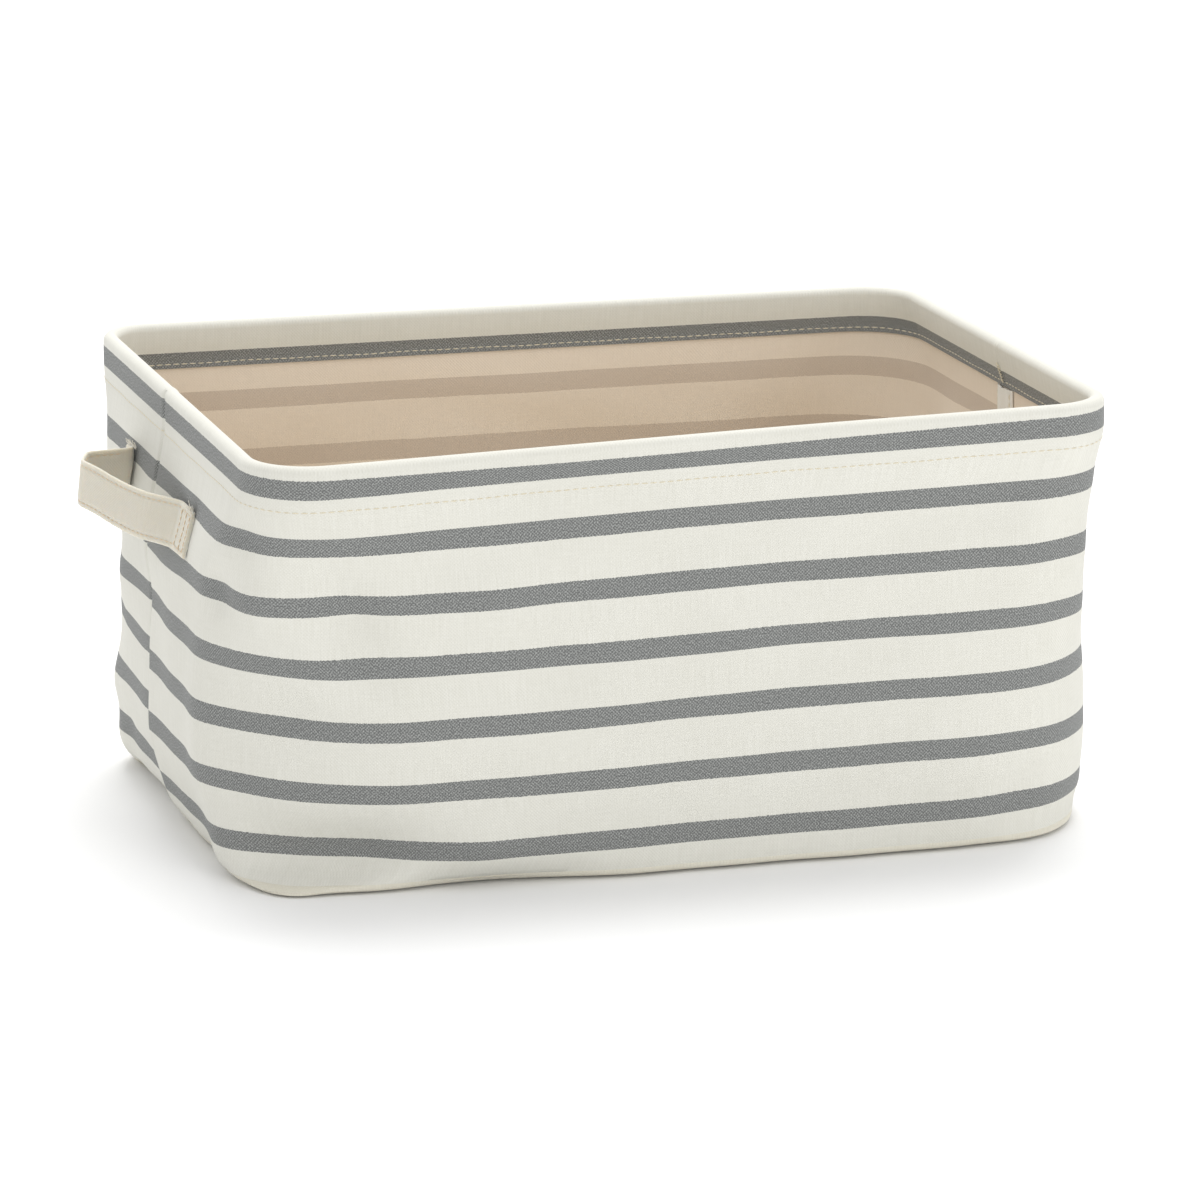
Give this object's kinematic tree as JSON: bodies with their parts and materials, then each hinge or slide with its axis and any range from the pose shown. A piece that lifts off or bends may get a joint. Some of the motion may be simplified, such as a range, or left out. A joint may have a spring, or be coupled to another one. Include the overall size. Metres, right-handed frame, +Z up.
{
  "type": "fabric storage bin",
  "caption": "Open rectangular canvas storage bin with grey stripes, a wire-stiffened folded rim and a sewn strap handle on each short end.",
  "frame": {"origin": "middle of the underside, on the surface that the bin stands on", "axes": "+X along the long side, towards the right-hand handle; +Y towards the back; +Z up, out of the mouth"},
  "size_m": [0.468, 0.3004, 0.2],
  "materials": {
    "striped_canvas": "plain-weave cotton canvas, cream with 9 mm grey stripes, coated beige on the inside",
    "base_canvas": "plain-weave cotton canvas, coated beige on the inside",
    "seam_tape": "plain cotton tape, off-white",
    "cream_thread": "spun polyester sewing thread, cream",
    "strap_canvas": "folded plain-weave cotton canvas, cream",
    "tan_thread": "spun polyester sewing thread, tan",
    "steel_wire": "drawn steel wire, bright",
    "crimp_sleeve": "pressed steel sleeve"
  },
  "bodies": {
    "bin": {"front_panel": "striped_canvas", "back_panel": "striped_canvas", "bottom_panel": "base_canvas", "left_seam_tape": "seam_tape", "right_seam_tape": "seam_tape", "bottom_seam_tape": "seam_tape", "left_seam_thread": "cream_thread", "right_seam_thread": "cream_thread", "bottom_seam_thread": "cream_thread"},
    "rim": {"front_hem": "striped_canvas", "back_hem": "striped_canvas", "rim_wire": "steel_wire", "wire_ferrule": "crimp_sleeve", "hem_thread": "cream_thread"},
    "left_root": {"left_strap_ends": "strap_canvas", "left_strap_stitches": "tan_thread"},
    "left_handle": {"left_strap_loop": "strap_canvas", "left_loop_thread": "tan_thread"},
    "right_root": {"right_strap_ends": "strap_canvas", "right_strap_stitches": "tan_thread"},
    "right_handle": {"right_strap_loop": "strap_canvas", "right_loop_thread": "tan_thread"}
  },
  "joints": [
    {"name": "rim_drop", "type": "slide", "parent": "bin", "child": "rim", "axis": [0, 0, -1], "range_m": [0, 0.145], "deforming": ["front_panel", "back_panel", "left_seam_tape", "right_seam_tape", "left_seam_thread", "right_seam_thread"]},
    {"name": "left_root_drop", "type": "slide", "parent": "bin", "child": "left_root", "axis": [0, 0, -1], "range_m": [0, 0.1235]},
    {"name": "right_root_drop", "type": "slide", "parent": "bin", "child": "right_root", "axis": [0, 0, -1], "range_m": [0, 0.1235]},
    {"name": "left_handle_swing", "type": "hinge", "parent": "left_root", "child": "left_handle", "pos_m": [-0.2123, 0, 0.1515], "axis": [0, 1, 0], "range_deg": [-70, 80]},
    {"name": "right_handle_swing", "type": "hinge", "parent": "right_root", "child": "right_handle", "pos_m": [0.2123, 0, 0.1515], "axis": [0, -1, 0], "range_deg": [-70, 80]}
  ],
  "couplings": [
    {"joint": "left_root_drop", "follows": "rim_drop", "ratio": 0.85112},
    {"joint": "right_root_drop", "follows": "rim_drop", "ratio": 0.85112}
  ]
}
